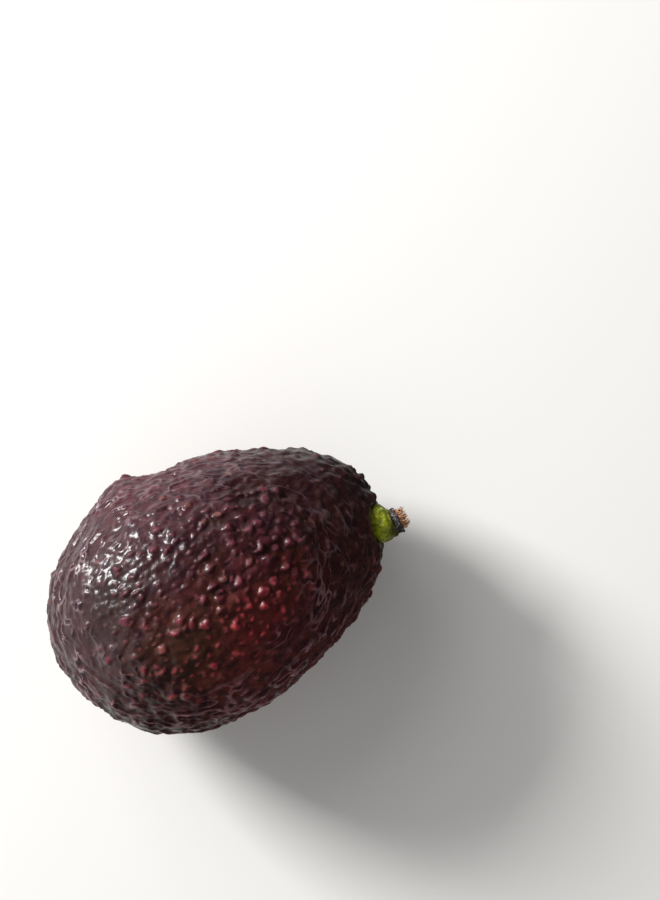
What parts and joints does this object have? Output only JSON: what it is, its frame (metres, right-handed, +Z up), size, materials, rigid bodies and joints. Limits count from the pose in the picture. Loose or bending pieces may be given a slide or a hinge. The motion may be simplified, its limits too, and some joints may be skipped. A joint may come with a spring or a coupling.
{
  "type": "avocado",
  "caption": "Ripe rough-skinned avocado lying on its side, egg-shaped, with dark pebbled skin and a short green stem stub at the narrow end.",
  "frame": {"origin": "centre of the small flat spot that the fruit rests on, at the surface it lies on", "axes": "+X along the fruit to its stem end, +Z up, with the fruit lying on its side"},
  "size_m": [0.0971, 0.0699, 0.0671],
  "materials": {
    "skin": "semi-gloss, waxy and pebbled",
    "stem": "matte, green with a dried collar"
  },
  "bodies": {
    "root": {"fruit": "skin", "stem": "stem"}
  },
  "joints": []
}
